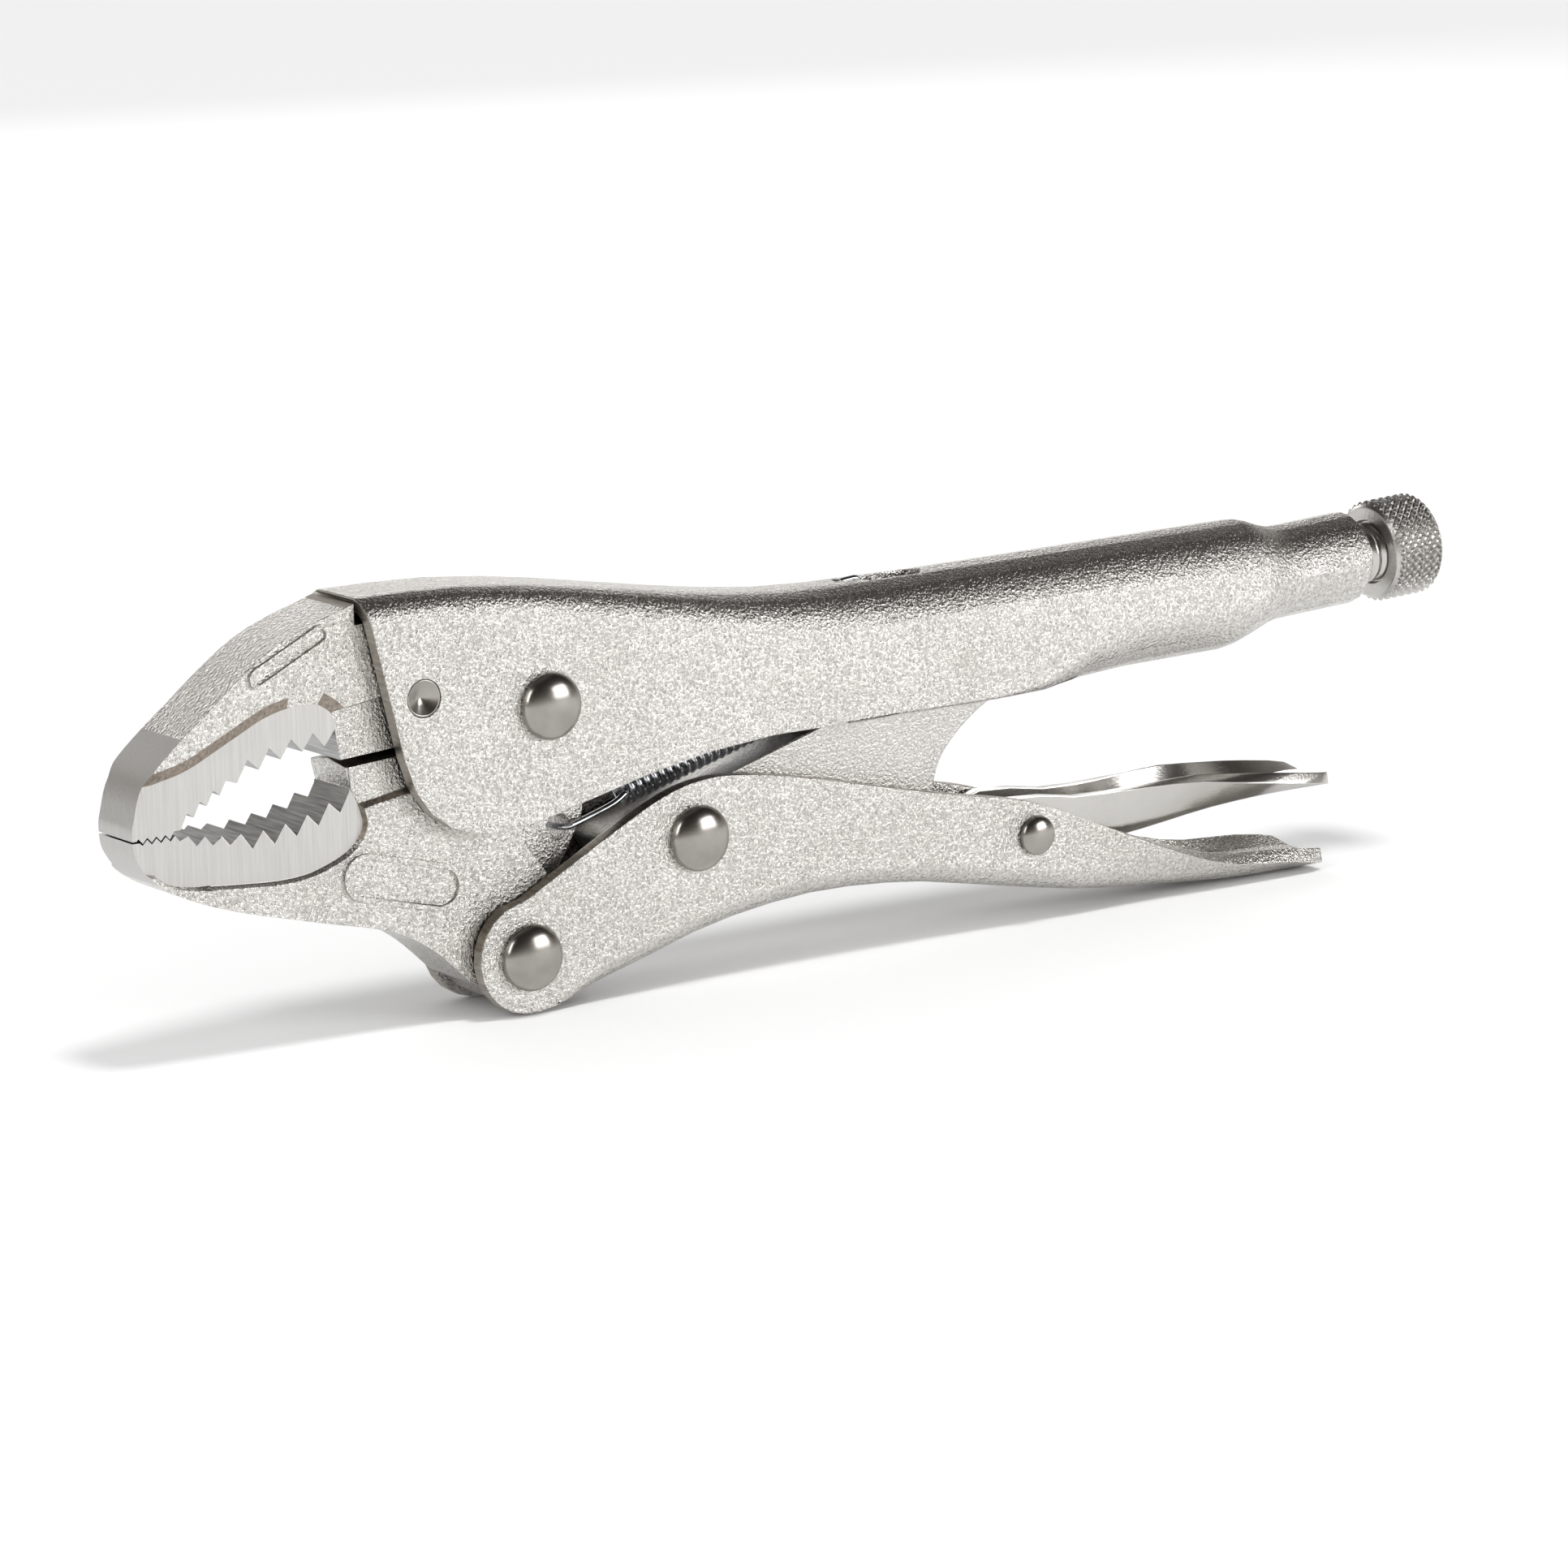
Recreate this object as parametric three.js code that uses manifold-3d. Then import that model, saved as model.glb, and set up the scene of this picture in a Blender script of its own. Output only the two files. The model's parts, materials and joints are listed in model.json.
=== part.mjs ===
// Curved-jaw locking pliers with a wire cutter, about 250 mm long.
//
// Frame: +X runs from the jaws to the adjusting screw, +Y across the thickness, +Z up.
// Outlines are drawn around the main pivot; the origin ends up under the middle of the
// tool, on the surface that the lever's front ears and its tail stand on.

import * as THREE from 'three';
import { LoftGeometry } from 'three/addons/geometries/LoftGeometry.js';
import { mergeVertices } from 'three/addons/utils/BufferGeometryUtils.js';
import Module from 'manifold-3d';

const wasm = await Module();
wasm.setup();

// ---------------------------------------------------------------- driving dimensions (mm)

const GAP = 0.3; // clearance between neighbouring pieces
const SHELL_WIDTH = 17.6; // outside width of the pressed handle and lever
const WALL = 2.5; // their sheet thickness
const CHANNEL = SHELL_WIDTH - 2 * WALL; // room between the walls
const JAW = CHANNEL - 2 * GAP; // thickness of the forged jaws
const LINK_WIDTH = 11.4;
const RELEASE_WALL = 2;

// Pivots in the side plane, from the main pivot.
const MAIN_PIVOT = new THREE.Vector2(0, 0);
const LEVER_PIVOT = new THREE.Vector2(-4.7, -38.3);
const LINK_PIVOT = new THREE.Vector2(26.3, -24.1);
const RELEASE_PIVOT = new THREE.Vector2(91, -32.7);
const LINK_TIP = new THREE.Vector2(92, -2.5); // where the link bears on the screw
const JAW_PIN = new THREE.Vector2(-22, 3.9);
const SPRING_HOLE = new THREE.Vector2(4.2, -20.2);

// The adjusting screw runs on a line tilted up towards its knob.
const SCREW_TILT = THREE.MathUtils.degToRad(3);
const SCREW_START = new THREE.Vector2(154, 2.6);
const SCREW_RADIUS = 5;
const SCREW_PITCH = 1.9;
const NECK_RADIUS = 7.6;
const KNOB_RADIUS = 8.5;

const HANDLE_FRONT = -33;
const SLOT_END = 101; // the handle is open below up to here, then closes to a tube
const NECK_END = 162.6;
const LEVER_TAIL = 151.5;
const RELEASE_TAIL = 153.5;
const WEB_FRONT = 6.9; // the lever has no web, only two ears, ahead of this
const EAR_RADIUS = 8.9;
const HUB_RADIUS = 10;

const BIG_RIVET = { shaft: 3.2, head: 5.2, dome: 2.8 };
const SMALL_RIVET = { shaft: 2.1, head: 3.2, dome: 1.9 };
const PIN_RADIUS = 2.6;

// ---------------------------------------------------------------- materials

function metal(color, roughness) {
  return new THREE.MeshStandardMaterial({ color, roughness, metalness: 1 });
}

const SATIN_NICKEL = 0xb9b4ac;
const POLISHED_NICKEL = 0xc9c5be;
const GROUND_STEEL = 0xc4c3c0;
const SPRING_STEEL = 0x9fa4a8;

// ---------------------------------------------------------------- solids

function solid(geometry) {
  const bare = new THREE.BufferGeometry();
  bare.setAttribute('position', geometry.attributes.position);
  bare.setIndex(geometry.index);
  const merged = mergeVertices(bare, 1e-4);
  return new wasm.Manifold(new wasm.Mesh({
    numProp: 3,
    vertProperties: new Float32Array(merged.attributes.position.array),
    triVerts: new Uint32Array(merged.index.array),
  }));
}

function geometryOf(manifold) {
  const mesh = manifold.getMesh();
  const geometry = new THREE.BufferGeometry();
  geometry.setAttribute('position', new THREE.BufferAttribute(mesh.vertProperties, 3));
  geometry.setIndex(new THREE.BufferAttribute(mesh.triVerts, 1));
  return geometry;
}

function meshOf(name, manifold, color, roughness) {
  const mesh = new THREE.Mesh(geometryOf(manifold), metal(color, roughness));
  mesh.name = name;
  return mesh;
}

function box(x0, x1, y0, y1, z0, z1) {
  const geometry = new THREE.BoxGeometry(x1 - x0, y1 - y0, z1 - z0);
  geometry.translate((x0 + x1) / 2, (y0 + y1) / 2, (z0 + z1) / 2);
  return solid(geometry);
}

// The outline as straight steps, with points that nearly coincide taken out.
function plain(shape, segments = 5) {
  const points = shape.getPoints(segments);
  const apart = points.filter((point, i) => point.distanceTo(points.at(i - 1)) > 0.02);
  return new THREE.Shape(apart);
}

// A side outline (x, z) made as thick as from..to along Y.
function sidePlate(shape, from, to) {
  const geometry = new THREE.ExtrudeGeometry(plain(shape), { depth: to - from, bevelEnabled: false });
  geometry.rotateX(Math.PI / 2);
  geometry.translate(0, to, 0);
  return solid(geometry);
}

function centredPlate(shape, thickness) {
  return sidePlate(shape, -thickness / 2, thickness / 2);
}

// Tool that sinks both side faces to +-floor inside an outline; its wall slopes out by slope.
function sideRecess(shape, floor, slope) {
  const depth = JAW / 2 - floor;
  const geometry = new THREE.ExtrudeGeometry(plain(shape), {
    depth: JAW, bevelThickness: depth, bevelSize: slope, bevelSegments: 1,
  });
  geometry.rotateX(Math.PI / 2);
  const near = solid(geometry).translate([0, -floor - depth, 0]);
  return near.add(near.mirror([0, 1, 0]));
}

// A cross-section (y, z) run along X.
function alongX(shape, x0, x1) {
  const geometry = new THREE.ExtrudeGeometry(shape, { depth: x1 - x0, bevelEnabled: false });
  const basis = new THREE.Matrix4().makeBasis(
    new THREE.Vector3(0, 1, 0), new THREE.Vector3(0, 0, 1), new THREE.Vector3(1, 0, 0),
  );
  geometry.applyMatrix4(basis);
  return solid(geometry).translate([x0, 0, 0]);
}

function crossHole(center, radius, width = 2 * SHELL_WIDTH) {
  const geometry = new THREE.CylinderGeometry(radius, radius, width, 24);
  return solid(geometry).translate([center.x, 0, center.y]);
}

function outline(points) {
  return new THREE.Shape(points.map(([x, z]) => new THREE.Vector2(x, z)));
}

function spline(shape, points) {
  shape.splineThru(points.map(([x, z]) => new THREE.Vector2(x, z)));
}

// A stadium outline, and the raised ring that follows it on a forged face.
function stadium(center, angle, halfLength, radius) {
  const along = new THREE.Vector2(Math.cos(angle), Math.sin(angle)).multiplyScalar(halfLength - radius);
  const shape = new THREE.Shape();
  const quarter = Math.PI / 2;
  shape.absarc(center.x + along.x, center.y + along.y, radius, angle - quarter, angle + quarter);
  shape.absarc(center.x - along.x, center.y - along.y, radius, angle + quarter, angle + 3 * quarter);
  return shape;
}

function raisedRing(center, angle, halfLength, radius, width, height) {
  const reach = JAW / 2 + height;
  const outer = sidePlate(stadium(center, angle, halfLength, radius), -reach, reach);
  const inner = sidePlate(stadium(center, angle, halfLength - width, radius - width), -JAW, JAW);
  return outer.subtract(inner).subtract(box(-200, 200, 1 - JAW / 2, JAW / 2 - 1, -100, 100));
}

// ---------------------------------------------------------------- curves

function smooth(x, from, to) {
  return THREE.MathUtils.smoothstep(x, from, to);
}

const mix = THREE.MathUtils.lerp;

// z(x) through a few points, smooth in between.
function through(points) {
  const slope = points.map((point, i) => {
    const before = points[Math.max(i - 1, 0)];
    const after = points[Math.min(i + 1, points.length - 1)];
    return (after[1] - before[1]) / (after[0] - before[0]);
  });
  return (x) => {
    let i = points.findIndex((point) => point[0] >= x) - 1;
    if (i === -2) i = points.length - 2;
    i = Math.max(i, 0);
    const [x0, z0] = points[i];
    const [x1, z1] = points[i + 1];
    const width = x1 - x0;
    const t = THREE.MathUtils.clamp((x - x0) / width, 0, 1);
    const bend0 = width * slope[i] - (z1 - z0);
    const bend1 = width * slope[i + 1] - (z1 - z0);
    return mix(z0, z1, t) + t * (1 - t) * ((1 - t) * bend0 - t * bend1);
  };
}

function steps(from, to, count) {
  return Array.from({ length: count + 1 }, (_, i) => mix(from, to, i / count));
}

function loft(stations, section) {
  return solid(new LoftGeometry(stations.map(section), { capStart: true, capEnd: true }));
}

// Rounded box across X, as a loft section.
function roundedSection(x, halfWidth, bottom, top, bottomRadius, topRadius) {
  const corners = [[1, 1, 0], [-1, 1, 1], [-1, -1, 2], [1, -1, 3]];
  const points = [];
  for (const [sideY, sideZ, quarter] of corners) {
    const limit = Math.min(halfWidth, (top - bottom) / 2) - 0.05;
    const radius = Math.min(sideZ > 0 ? topRadius : bottomRadius, limit);
    const y = sideY * (halfWidth - radius);
    const z = sideZ > 0 ? top - radius : bottom + radius;
    for (const t of steps(0, 1, 5)) {
      const angle = (quarter + t) * Math.PI / 2;
      points.push(new THREE.Vector3(x, y + radius * Math.cos(angle), z + radius * Math.sin(angle)));
    }
  }
  return points;
}

const INSIDE_BEND = 0.3; // smallest radius inside a bend

// Open trough of sheet across X: walls lean outwards, their sheared edges stay square.
function troughSection(x, halfWidth, rim, belly, lean, radius, wall) {
  const sin = Math.sin(lean);
  const cos = Math.cos(lean);
  const corner = (inset) => {
    const bend = Math.max(radius - inset, INSIDE_BEND);
    const reach = inset + bend;
    const center = -halfWidth + (reach + (rim - belly - reach) * sin) / cos;
    return steps(Math.PI + lean, 1.5 * Math.PI, 4).map(
      (angle) => [center + bend * Math.cos(angle), belly + reach + bend * Math.sin(angle)],
    );
  };
  const outer = [[-halfWidth, rim], ...corner(0)];
  const inner = [[-halfWidth + wall * cos, rim + wall * sin], ...corner(wall)];
  const mirrored = (points) => points.map(([y, z]) => [-y, z]).reverse();
  const ring = [...outer, ...mirrored(outer), ...mirrored(inner).reverse(), ...inner.reverse()];
  return ring.map(([y, z]) => new THREE.Vector3(x, y, z));
}

// ---------------------------------------------------------------- handle

function screwHeight(x) {
  return SCREW_START.y + (x - SCREW_START.x) * Math.tan(SCREW_TILT);
}

const TUBE_BOTTOM = -9.8;

function handleTop(x) {
  const body = 19.9 - 8.7 * smooth(x, -22, 54) + 0.8 * smooth(x, 60, 140);
  return mix(body, screwHeight(x) + NECK_RADIUS, smooth(x, 138, 147));
}

function handleBottom(x) {
  const tube = TUBE_BOTTOM + 0.02 * Math.max(x - 93, 0);
  const body = mix(tube - 14, tube, smooth(x, 10, 60));
  return mix(body, screwHeight(x) - NECK_RADIUS, smooth(x, 133, 146));
}

// The outside for offset 0; the inside is the same shape drawn in by the wall.
function handleSection(x, offset, bottom = handleBottom(x) + offset) {
  const halfWidth = mix(SHELL_WIDTH / 2, NECK_RADIUS, smooth(x, 138, 147)) - offset;
  const topRadius = mix(4.5, 9, smooth(x, 0, 90)) - offset;
  const bottomRadius = Math.max(mix(0.5, 9, smooth(x, 88, 112)) - offset, 0.4);
  return roundedSection(x, halfWidth, bottom, handleTop(x) - offset, bottomRadius, topRadius);
}

function handleSideOutline() {
  const shape = new THREE.Shape();
  shape.moveTo(-31.6, 25);
  shape.lineTo(-31.6, 19.5);
  shape.lineTo(-25.8, -5);
  shape.bezierCurveTo(-23.6, -14.5, -17.5, -18.5, -9, -18.5);
  shape.bezierCurveTo(0, -18.5, 20, -10.5, 41, -10);
  shape.lineTo(90, TUBE_BOTTOM);
  shape.lineTo(92, -15);
  shape.lineTo(170, -15);
  shape.lineTo(170, 25);
  return shape;
}

function neckEnd(x) {
  const radius = NECK_RADIUS - (x > NECK_END - 1 ? 0.9 : 0);
  const z = screwHeight(x);
  return roundedSection(x, radius, z - radius, z + radius, radius, radius);
}

const ROOF_SLOT = { x: 68.6, halfLength: 6.4, halfWidth: 2.2 };

function roofSlot() {
  const slot = new THREE.Shape();
  const straight = ROOF_SLOT.halfLength - ROOF_SLOT.halfWidth;
  slot.absarc(ROOF_SLOT.x + straight, 0, ROOF_SLOT.halfWidth, -Math.PI / 2, Math.PI / 2);
  slot.absarc(ROOF_SLOT.x - straight, 0, ROOF_SLOT.halfWidth, Math.PI / 2, 1.5 * Math.PI);
  const hole = solid(new THREE.ExtrudeGeometry(slot, { depth: 10, bevelEnabled: false, curveSegments: 8 }));
  const hookGroove = box(58.6, ROOF_SLOT.x, -0.9, 0.9, handleTop(60) - 1.4, 20);
  return hole.translate([0, 0, 5]).add(hookGroove);
}

function screwBore() {
  const geometry = new THREE.CylinderGeometry(SCREW_RADIUS + GAP, SCREW_RADIUS + GAP, 60, 24);
  geometry.rotateZ(-Math.PI / 2);
  geometry.rotateY(-SCREW_TILT);
  return solid(geometry).translate([SCREW_START.x, 0, SCREW_START.y]);
}

function handleShell() {
  const stations = [...steps(HANDLE_FRONT, 133, 17), ...steps(136, 148, 5)];
  const body = loft(stations, (x) => handleSection(x, 0));
  const neck = loft([145, NECK_END - 1.1, NECK_END - 0.9, NECK_END], neckEnd);
  const channel = loft(steps(HANDLE_FRONT - 1, SLOT_END, 13), (x) => handleSection(x, WALL, -40));
  const tube = loft(steps(SLOT_END - 0.5, 141, 5), (x) => handleSection(x, WALL));
  const seam = box(SLOT_END - 1, NECK_END + 1, -0.4, 0.4, -20, -2);
  return body.add(neck)
    .intersect(sidePlate(handleSideOutline(), -SHELL_WIDTH, SHELL_WIDTH))
    .subtract(channel)
    .subtract(tube)
    .subtract(screwBore())
    .subtract(seam)
    .subtract(roofSlot())
    .subtract(crossHole(MAIN_PIVOT, BIG_RIVET.shaft + GAP))
    .subtract(crossHole(JAW_PIN, PIN_RADIUS + GAP));
}

// ---------------------------------------------------------------- jaws

const MACHINED_FACE = 5.1; // half thickness where the teeth are ground
const NOSE_X = -70.3;
const PARTING_Z = -12;

function upperTipLine(x) {
  return Math.max(-2 - 0.0144 * (x + 37) ** 2, -12.3);
}

function lowerTipLine(x) {
  const steepness = x < -50.5 ? 0.008 : 0.0143;
  return Math.min(-13.1 + steepness * (x + 50.5) ** 2, x < -62.4 ? -11.8 : 0);
}

// Zigzag from start towards the pivot: groups of equal teeth, deeper in the coarse groups.
function toothLine(start, groups, tipLine, side) {
  const points = [[start, tipLine(start) - side * groups[0].depth]];
  let x = start;
  for (const { count, pitch, depth } of groups) {
    for (let i = 0; i < count; i += 1) {
      points.push([x + pitch / 2, tipLine(x + pitch / 2)]);
      points.push([x + pitch, tipLine(x + pitch) - side * depth]);
      x += pitch;
    }
  }
  return points;
}

const UPPER_TEETH = [
  { count: 4, pitch: 1.5, depth: 0.8 },
  { count: 4, pitch: 2.25, depth: 1.5 },
  { count: 5, pitch: 3.76, depth: 2.4 },
];
const LOWER_TEETH = [
  { count: 4, pitch: 1.55, depth: 0.8 },
  { count: 3, pitch: 2.8, depth: 1.5 },
  { count: 6, pitch: 3.78, depth: 2.5 },
];

function upperJawOutline() {
  const shape = new THREE.Shape();
  shape.moveTo(NOSE_X, PARTING_Z - 4);
  shape.lineTo(NOSE_X, PARTING_Z + GAP / 2);
  spline(shape, [[-70, -9], [-67.5, -2.7], [-58.3, 5.2], [-45.6, 14.3], [-32, 19.1]]);
  shape.lineTo(-32, 15.9);
  shape.lineTo(-16, 15.8);
  spline(shape, [[-6, 14.9], [4, 13.5], [9, 12.7]]);
  const seat = HUB_RADIUS + 2 * GAP;
  shape.absarc(0, 0, seat, Math.atan2(5.6, 9), THREE.MathUtils.degToRad(192.5));
  shape.lineTo(-24, -3.55);
  shape.lineTo(-34.9, -4.3);
  return shape;
}

function upperMouth() {
  const teeth = toothLine(-69.3, UPPER_TEETH, upperTipLine, -1);
  const lip = PARTING_Z + GAP / 2;
  return outline([[-75, lip], [-69.6, lip], ...teeth, [-34.9, -4.3], [-34.9, -20], [-75, -20]]);
}

function upperFace() {
  const shape = new THREE.Shape();
  shape.moveTo(-80, -4.5);
  shape.lineTo(-66.8, -3.8);
  spline(shape, [[-60.5, -2.3], [-51.3, 2], [-46.7, 3.9], [-42, 4.8], [-38.3, 4.6]]);
  spline(shape, [[-36.1, 3], [-35.2, 0.8], [-35.2, -2.6]]);
  shape.lineTo(-35.2, -20);
  shape.lineTo(-80, -20);
  return shape;
}

function upperJaw() {
  const cutterFace = outline([[-37, 3], [-29.3, 4.1], [-18, 5.6], [-18, -10], [-37, -10]]);
  return centredPlate(upperJawOutline(), JAW)
    .add(raisedRing(new THREE.Vector2(-43.4, 12.5), THREE.MathUtils.degToRad(26), 7.6, 1.6, 0.7, 0.45))
    .subtract(sidePlate(upperMouth(), -JAW, JAW))
    .subtract(sideRecess(upperFace(), MACHINED_FACE, 1.8))
    .subtract(sideRecess(cutterFace, MACHINED_FACE + 0.2, 0.3))
    .subtract(crossHole(JAW_PIN, PIN_RADIUS + GAP));
}

function lowerJawOutline() {
  const shape = new THREE.Shape();
  shape.moveTo(NOSE_X, PARTING_Z + 3);
  shape.lineTo(NOSE_X, PARTING_Z - GAP / 2);
  spline(shape, [[-69.7, -14.8], [-66.9, -18.5], [-61.7, -21.6], [-52.9, -24.8], [-39, -28.5],
    [-28, -31.3], [-20.5, -35.3], [-14, -41.2]]);
  const eye = EAR_RADIUS - 1.1;
  shape.absarc(LEVER_PIVOT.x, LEVER_PIVOT.y, eye, THREE.MathUtils.degToRad(215), 0);
  shape.lineTo(3.3, -28);
  shape.lineTo(8.5, -19.2);
  shape.lineTo(8.9, -16);
  shape.absarc(0, 0, HUB_RADIUS, THREE.MathUtils.degToRad(-10), THREE.MathUtils.degToRad(195));
  shape.lineTo(-24, -3.9);
  shape.lineTo(-34, -4.6);
  shape.lineTo(-34, PARTING_Z + 3);
  return shape;
}

function lowerMouth() {
  const teeth = toothLine(-68.6, LOWER_TEETH, lowerTipLine, 1).slice(0, -1);
  const lip = PARTING_Z - GAP / 2;
  return outline([[-75, lip], [-69.1, lip], ...teeth, [-33.9, -6.5], [-34, -4], [-36, 0], [-75, 0]]);
}

function lowerFace() {
  const shape = new THREE.Shape();
  shape.moveTo(-80, -14);
  shape.lineTo(-66.9, -17.3);
  spline(shape, [[-62.7, -19.6], [-50, -20.9], [-43.2, -21], [-38.5, -20.1], [-33.7, -18],
    [-31.4, -14.9], [-32, -11.6], [-33.3, -9]]);
  shape.lineTo(-34, 0);
  shape.lineTo(-80, 0);
  return shape;
}

// The cutter's ridge runs just under the upper block; its two faces fall away to the sides.
const CUTTER_RIDGE = -2.4; // height the ridge line would reach over the main pivot
const CUTTER_TILT = 4; // degrees, down towards the nose
const CUTTER_SLOPE = 0.16;

function cutterBevel() {
  const side = new THREE.Shape([
    new THREE.Vector2(0, 0), new THREE.Vector2(0, JAW),
    new THREE.Vector2(-JAW, JAW), new THREE.Vector2(-JAW, -CUTTER_SLOPE * JAW),
  ]);
  const near = alongX(side, -38, -16).rotate([0, -CUTTER_TILT, 0]).translate([0, 0, CUTTER_RIDGE]);
  return near.add(near.mirror([0, 1, 0]));
}

function lowerJaw() {
  const cutterFace = outline([[-38, -12], [-32.8, -11.3], [-23.7, -9.8], [-16, -8.6], [-16, 2], [-38, 2]]);
  const springTab = outline([[-4, -14.5], [-3.9, -18.6], [-3.1, -21.4], [1.2, -26.9], [2.8, -31], [14, -31],
    [14, -14.5]]);
  return centredPlate(lowerJawOutline(), JAW)
    .add(raisedRing(new THREE.Vector2(-25.1, -24.2), THREE.MathUtils.degToRad(-14), 10.6, 3.7, 0.9, 0.45))
    .subtract(sidePlate(lowerMouth(), -JAW, JAW))
    .subtract(sideRecess(lowerFace(), MACHINED_FACE, 0.4))
    .subtract(sideRecess(cutterFace, MACHINED_FACE + 0.2, 1))
    .subtract(cutterBevel().intersect(box(-38, -19, -JAW, JAW, -12, 4)))
    .subtract(sideRecess(springTab, 3.4, 0.3))
    .subtract(crossHole(MAIN_PIVOT, BIG_RIVET.shaft + GAP))
    .subtract(crossHole(LEVER_PIVOT, BIG_RIVET.shaft + GAP))
    .subtract(crossHole(SPRING_HOLE, 2.1));
}

// ---------------------------------------------------------------- lever, link, release lever

const leverRim = through([[100, -31.1], [110, -35.5], [118, -38.9], [126, -41.9], [131, -43.3],
  [138, -44.2], [145, -45], [LEVER_TAIL, -46.2]]);
const leverBelly = through([[-15, -49.5], [-2, -47.6], [WEB_FRONT, -45.1], [18, -42.1], [28.5, -39.2],
  [41, -37.2], [53, -36.6], [69, -37.8], [84, -40.5], [99, -43.3], [113, -45], [128, -46.2], [140, -46.8],
  [LEVER_TAIL, -47.2]]);
const leverLean = through([[95, 0], [104, 1], [118, 15], [131, 40], [138, 52], [LEVER_TAIL, 78]]);
const leverHalfWidth = through([[110, SHELL_WIDTH / 2], [131, 8.6], [149, 8], [LEVER_TAIL, 6.8]]);

// The bend between wall and web runs out flat on the ears.
function leverSection(x) {
  const rim = x < 101 ? -10 : leverRim(x);
  const lean = THREE.MathUtils.degToRad(leverLean(x));
  const bend = mix(0.6, 3.6, smooth(x, -3, 9));
  return troughSection(x, leverHalfWidth(x), rim, leverBelly(x), lean, bend, WALL);
}

// Everything inside this side outline is kept: ears in front, then the walls' top edge.
function leverSideOutline() {
  const shape = new THREE.Shape();
  const { x, y } = LEVER_PIVOT;
  shape.absarc(x, y, EAR_RADIUS, THREE.MathUtils.degToRad(120), THREE.MathUtils.degToRad(278));
  shape.lineTo(WEB_FRONT, leverBelly(WEB_FRONT) - 0.4);
  shape.lineTo(WEB_FRONT + 4, -60);
  shape.lineTo(170, -60);
  shape.lineTo(170, 0);
  shape.lineTo(101, 0);
  shape.lineTo(101, leverRim(101));
  spline(shape, [[95, -29], [87, -26.4], [75, -24], [60, -20.6], [48, -17.7], [36, -15.5], [28, -15.1],
    [20, -16.9], [8.3, -22.4], [-5, -29.3]]);
  return shape;
}

function lever() {
  const front = [-14.5, -9, ...steps(-4, 12, 8)];
  const stations = [...front, ...steps(19, 100.5, 11), ...steps(101, 149, 9), LEVER_TAIL];
  const betweenEars = CHANNEL / 2 + 0.05;
  return loft(stations, leverSection)
    .subtract(box(-20, WEB_FRONT, -betweenEars, betweenEars, -60, 0))
    .intersect(sidePlate(leverSideOutline(), -SHELL_WIDTH, SHELL_WIDTH))
    .subtract(crossHole(LEVER_PIVOT, BIG_RIVET.shaft + GAP))
    .subtract(crossHole(LINK_PIVOT, BIG_RIVET.shaft + GAP))
    .subtract(crossHole(RELEASE_PIVOT, SMALL_RIVET.shaft + GAP));
}

function toggleLink() {
  const shape = new THREE.Shape();
  shape.moveTo(12.4, -23.8);
  shape.quadraticCurveTo(12.4, -22, 14, -21.3);
  shape.lineTo(50, -11);
  shape.lineTo(90.7, 2.1);
  shape.absarc(LINK_TIP.x, LINK_TIP.y, 4.8, THREE.MathUtils.degToRad(105), -Math.PI / 2, true);
  spline(shape, [[87.9, -8.7], [80.5, -12.9], [75.2, -18], [73, -23.5], [71.6, -26.6], [68, -28]]);
  spline(shape, [[56, -27.4], [44, -28.4], [34, -30.8], [LINK_PIVOT.x, -31.6], [20, -30.6], [14, -26.6]]);
  return centredPlate(shape, LINK_WIDTH)
    .subtract(crossHole(LINK_PIVOT, BIG_RIVET.shaft + GAP));
}

const releaseRim = through([[76, -32], [84, -28.2], [91, -27], [102, -28.5], [117, -28.8], [127, -29.2],
  [134, -30.3], [141, -31.3], [148, -32.4], [RELEASE_TAIL, -33.3]]);
const releaseBelly = through([[76, -35.4], [84, -37.3], [93, -38], [105, -37.4], [113, -36.7], [125, -35.6],
  [133, -34.8], [142, -34.3], [RELEASE_TAIL, -34]]);
const releaseLean = through([[104, 0], [112, 3], [120, 16], [130, 36], [140, 56], [RELEASE_TAIL, 80]]);
const releaseHalfWidth = through([[76, 5.4], [108, 5.4], [122, 6.6], [140, 7.6], [151, 7.4],
  [RELEASE_TAIL, 6]]);

function releaseLever() {
  const stations = [...steps(76, 108, 5), ...steps(112, 151, 8), RELEASE_TAIL];
  const trough = loft(stations, (x) => {
    const lean = THREE.MathUtils.degToRad(releaseLean(x));
    return troughSection(x, releaseHalfWidth(x), releaseRim(x), releaseBelly(x), lean, 3, RELEASE_WALL);
  });
  return trough.subtract(crossHole(RELEASE_PIVOT, SMALL_RIVET.shaft + GAP));
}

// ---------------------------------------------------------------- rivets and pin

function rivet(name, center, { shaft, head, dome }) {
  const seat = SHELL_WIDTH / 2 + 0.05;
  const rim = 0.45;
  const top = steps(0, Math.PI / 2, 4).map(
    (angle) => new THREE.Vector2(head * Math.cos(angle), seat + rim + (dome - rim) * Math.sin(angle)),
  );
  top[top.length - 1].x = 0;
  const half = [new THREE.Vector2(shaft, seat), new THREE.Vector2(head, seat), ...top];
  const mirrored = half.map((point) => new THREE.Vector2(point.x, -point.y)).reverse();
  const manifold = solid(new THREE.LatheGeometry([...mirrored, ...half], 20));
  return meshOf(name, manifold.translate([center.x, 0, center.y]), POLISHED_NICKEL, 0.2);
}

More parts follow.
